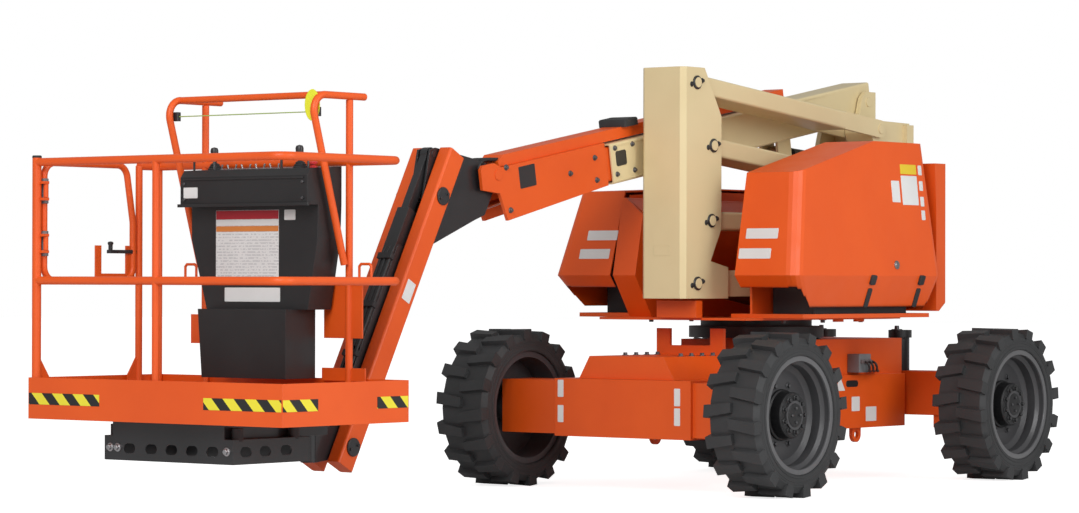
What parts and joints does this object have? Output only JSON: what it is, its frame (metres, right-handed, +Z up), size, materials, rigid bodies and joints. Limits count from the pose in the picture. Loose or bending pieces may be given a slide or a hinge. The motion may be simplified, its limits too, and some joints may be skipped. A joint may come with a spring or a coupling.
{
  "type": "articulating boom lift",
  "caption": "Self-propelled articulating boom lift, stowed: wheeled chassis, swinging turntable with hoods, riser tower, telescoping boom, jib and railed work platform.",
  "frame": {"origin": "on the ground, in the middle of the machine's overall length and width", "axes": "+X towards the platform (the machine's travel direction), +Y to its left side, +Z up"},
  "size_m": [5.6056, 1.93, 2.111],
  "materials": {
    "orange_paint": "gloss",
    "tan_paint": "gloss",
    "black_paint": "satin",
    "tyre_rubber": "matte",
    "rim_paint": "satin",
    "rod_chrome": "polished",
    "cast_black": "rough",
    "hood_shell": "gloss",
    "console_plastic": "matte",
    "weight_iron": "painted",
    "tank_plastic": "matte",
    "engine_iron": "rough"
  },
  "bodies": {
    "chassis": {"chassis_frame": "orange_paint", "front_axle": "orange_paint", "rear_axle": "orange_paint", "axle_lock_cylinders": "black_paint", "swing_bearing": "cast_black"},
    "steering_left": {"steering_knuckle_left": "black_paint"},
    "steering_right": {"steering_knuckle_right": "black_paint"},
    "steer_rod": {"steering_rod": "rod_chrome"},
    "wheel_front_left": {"tyre_front_left": "tyre_rubber", "rim_front_left": "rim_paint"},
    "wheel_front_right": {"tyre_front_right": "tyre_rubber", "rim_front_right": "rim_paint"},
    "wheel_rear_left": {"tyre_rear_left": "tyre_rubber", "rim_rear_left": "rim_paint"},
    "wheel_rear_right": {"tyre_rear_right": "tyre_rubber", "rim_rear_right": "rim_paint"},
    "turntable": {"turntable_frame": "orange_paint", "counterweight": "weight_iron", "engine_block": "engine_iron", "hydraulic_tank": "tank_plastic"},
    "hood_left": {"hood_left": "hood_shell"},
    "hood_right": {"hood_right": "hood_shell"},
    "lower_arm": {"lower_arm": "tan_paint"},
    "lower_link": {"lower_link": "tan_paint"},
    "upright": {"upright": "tan_paint"},
    "upper_link": {"upper_link": "tan_paint"},
    "second_link": {"second_link": "tan_paint"},
    "boom_carrier": {"boom_carrier": "tan_paint"},
    "tower_cylinder": {"tower_cylinder": "black_paint"},
    "tower_rod": {"tower_rod": "rod_chrome"},
    "base_boom": {"base_boom": "tan_paint"},
    "lift_cylinder": {"lift_cylinder": "black_paint"},
    "lift_rod": {"lift_rod": "rod_chrome"},
    "fly_boom": {"fly_boom": "orange_paint", "hose_tray": "orange_paint"},
    "level_rod": {"level_rod": "rod_chrome"},
    "jib_knuckle": {"jib_knuckle": "black_paint"},
    "jib_arm": {"jib_arm": "orange_paint"},
    "jib_link": {"jib_link": "black_paint"},
    "jib_cylinder": {"jib_cylinder": "black_paint"},
    "jib_rod": {"jib_rod": "rod_chrome"},
    "jib_foot": {"jib_foot": "black_paint"},
    "platform": {"platform_support": "black_paint", "platform_floor": "orange_paint", "platform_rails": "orange_paint", "overhead_guard": "orange_paint", "control_console": "console_plastic"},
    "gate": {"gate": "orange_paint"}
  },
  "joints": [
    {"name": "spin_front_left", "type": "hinge", "parent": "chassis", "child": "wheel_front_left", "pos_m": [-0.38783, 0.82, 0.395], "axis": [0, 1, 0], "continuous": true},
    {"name": "spin_front_right", "type": "hinge", "parent": "chassis", "child": "wheel_front_right", "pos_m": [-0.38783, -0.82, 0.395], "axis": [0, 1, 0], "continuous": true},
    {"name": "spin_rear_left", "type": "hinge", "parent": "steering_left", "child": "wheel_rear_left", "pos_m": [-2.40783, 0.82, 0.395], "axis": [0, 1, 0], "continuous": true},
    {"name": "spin_rear_right", "type": "hinge", "parent": "steering_right", "child": "wheel_rear_right", "pos_m": [-2.40783, -0.82, 0.395], "axis": [0, 1, 0], "continuous": true},
    {"name": "steer_left", "type": "hinge", "parent": "chassis", "child": "steering_left", "pos_m": [-2.40783, 0.63, 0.395], "axis": [0, 0, 1], "range_deg": [-28, 28]},
    {"name": "steer_right", "type": "hinge", "parent": "chassis", "child": "steering_right", "pos_m": [-2.40783, -0.63, 0.395], "axis": [0, 0, 1], "range_deg": [-28, 28]},
    {"name": "steer_rod_slide", "type": "slide", "parent": "chassis", "child": "steer_rod", "axis": [0, -1, 0], "range_m": [-0.08, 0.08]},
    {"name": "swing", "type": "hinge", "parent": "chassis", "child": "turntable", "pos_m": [-1.39783, 0, 0.838], "axis": [0, 0, 1], "range_deg": [-177.5, 177.5]},
    {"name": "tower_lift", "type": "hinge", "parent": "turntable", "child": "lower_arm", "pos_m": [-1.85383, 0.068, 1.02], "axis": [0, -1, 0], "range_deg": [0, 70]},
    {"name": "lower_link_turn", "type": "hinge", "parent": "turntable", "child": "lower_link", "pos_m": [-1.97183, 0.068, 1.331], "axis": [0, -1, 0], "range_deg": [0, 70]},
    {"name": "upright_level", "type": "hinge", "parent": "lower_arm", "child": "upright", "pos_m": [-0.60383, 0.068, 1.02], "axis": [0, -1, 0], "range_deg": [-70, 0]},
    {"name": "upper_lift", "type": "hinge", "parent": "upright", "child": "upper_link", "pos_m": [-0.59783, 0.068, 2.01], "axis": [0, 1, 0], "range_deg": [0, 73.5]},
    {"name": "second_lift", "type": "hinge", "parent": "upright", "child": "second_link", "pos_m": [-0.73783, 0.068, 1.703], "axis": [0, 1, 0], "range_deg": [0, 73.5]},
    {"name": "carrier_level", "type": "hinge", "parent": "upper_link", "child": "boom_carrier", "pos_m": [-2.29738, 0.068, 1.84036], "axis": [0, 1, 0], "range_deg": [-73.5, 0]},
    {"name": "tower_cylinder_turn", "type": "hinge", "parent": "turntable", "child": "tower_cylinder", "pos_m": [-1.44783, 0.068, 0.915], "axis": [0, -1, 0], "range_deg": [0, 83.91]},
    {"name": "tower_rod_slide", "type": "slide", "parent": "tower_cylinder", "child": "tower_rod", "axis": [0.9875, 0, 0.1579], "range_m": [0, 0.44115]},
    {"name": "main_lift", "type": "hinge", "parent": "boom_carrier", "child": "base_boom", "pos_m": [-2.54738, -0.19, 2.00036], "axis": [0, -1, 0], "range_deg": [0, 80]},
    {"name": "lift_cylinder_turn", "type": "hinge", "parent": "boom_carrier", "child": "lift_cylinder", "pos_m": [-2.43738, -0.19, 1.67036], "axis": [0, -1, 0], "range_deg": [0, 69.11]},
    {"name": "lift_rod_slide", "type": "slide", "parent": "lift_cylinder", "child": "lift_rod", "axis": [0.9978, 0, 0.066], "range_m": [0, 0.42238]},
    {"name": "telescope", "type": "slide", "parent": "base_boom", "child": "fly_boom", "axis": [0.9848, 0, -0.1736], "range_m": [0, 1.1]},
    {"name": "knuckle_level", "type": "hinge", "parent": "fly_boom", "child": "jib_knuckle", "pos_m": [0.57242, -0.19, 1.53048], "axis": [0, -1, 0], "range_deg": [-80, 0]},
    {"name": "level_rod_slide", "type": "slide", "parent": "fly_boom", "child": "level_rod", "axis": [-0.9714, 0, 0.2376], "range_m": [0, 0.23005]},
    {"name": "jib_lift", "type": "hinge", "parent": "jib_knuckle", "child": "jib_arm", "pos_m": [1.02642, -0.19, 1.42047], "axis": [0, -1, 0], "range_deg": [0, 142]},
    {"name": "jib_link_turn", "type": "hinge", "parent": "jib_knuckle", "child": "jib_link", "pos_m": [0.99242, -0.19, 1.61747], "axis": [0, -1, 0], "range_deg": [0, 142]},
    {"name": "foot_level", "type": "hinge", "parent": "jib_arm", "child": "jib_foot", "pos_m": [1.64783, -0.19, 0.28545], "axis": [0, -1, 0], "range_deg": [-142, 0]},
    {"name": "jib_cylinder_turn", "type": "hinge", "parent": "jib_knuckle", "child": "jib_cylinder", "pos_m": [1.06342, -0.19, 1.22047], "axis": [0, -1, 0], "range_deg": [0, 139.99]},
    {"name": "jib_rod_slide", "type": "slide", "parent": "jib_cylinder", "child": "jib_rod", "axis": [0.569, 0, -0.8223], "range_m": [0, 0.38365]},
    {"name": "platform_rotate", "type": "hinge", "parent": "jib_foot", "child": "platform", "pos_m": [1.80783, -0.19, 0.4], "axis": [0, 0, 1], "range_deg": [-90, 90]},
    {"name": "gate_swing", "type": "hinge", "parent": "platform", "child": "gate", "pos_m": [2.75453, -0.8837, 1], "axis": [0, 0, -1], "range_deg": [0, 85]},
    {"name": "hood_left_lift", "type": "hinge", "parent": "turntable", "child": "hood_left", "pos_m": [-1.39783, 0.369, 1.73], "axis": [1, 0, 0], "range_deg": [0, 60]},
    {"name": "hood_right_lift", "type": "hinge", "parent": "turntable", "child": "hood_right", "pos_m": [-1.39783, -0.369, 1.507], "axis": [-1, 0, 0], "range_deg": [0, 60]}
  ],
  "couplings": [
    {"joint": "steer_right", "follows": "steer_left", "ratio": 1},
    {"joint": "steer_rod_slide", "follows": "steer_left", "m_per_rad": 0.15},
    {"joint": "lower_link_turn", "follows": "tower_lift", "ratio": 1},
    {"joint": "upright_level", "follows": "tower_lift", "ratio": -1},
    {"joint": "upper_lift", "follows": "tower_lift", "ratio": 1.05},
    {"joint": "second_lift", "follows": "tower_lift", "ratio": 1.05},
    {"joint": "carrier_level", "follows": "tower_lift", "ratio": -1.05},
    {"joint": "tower_cylinder_turn", "follows": "tower_lift", "ratio": 1.1988},
    {"joint": "tower_rod_slide", "follows": "tower_lift", "m_per_rad": 0.36109},
    {"joint": "lift_cylinder_turn", "follows": "main_lift", "ratio": 0.86394},
    {"joint": "lift_rod_slide", "follows": "main_lift", "m_per_rad": 0.30251},
    {"joint": "knuckle_level", "follows": "main_lift", "ratio": -1},
    {"joint": "level_rod_slide", "follows": "main_lift", "m_per_rad": 0.16476},
    {"joint": "jib_link_turn", "follows": "jib_lift", "ratio": 1},
    {"joint": "foot_level", "follows": "jib_lift", "ratio": -1},
    {"joint": "jib_cylinder_turn", "follows": "jib_lift", "ratio": 0.98584},
    {"joint": "jib_rod_slide", "follows": "jib_lift", "m_per_rad": 0.1548}
  ]
}
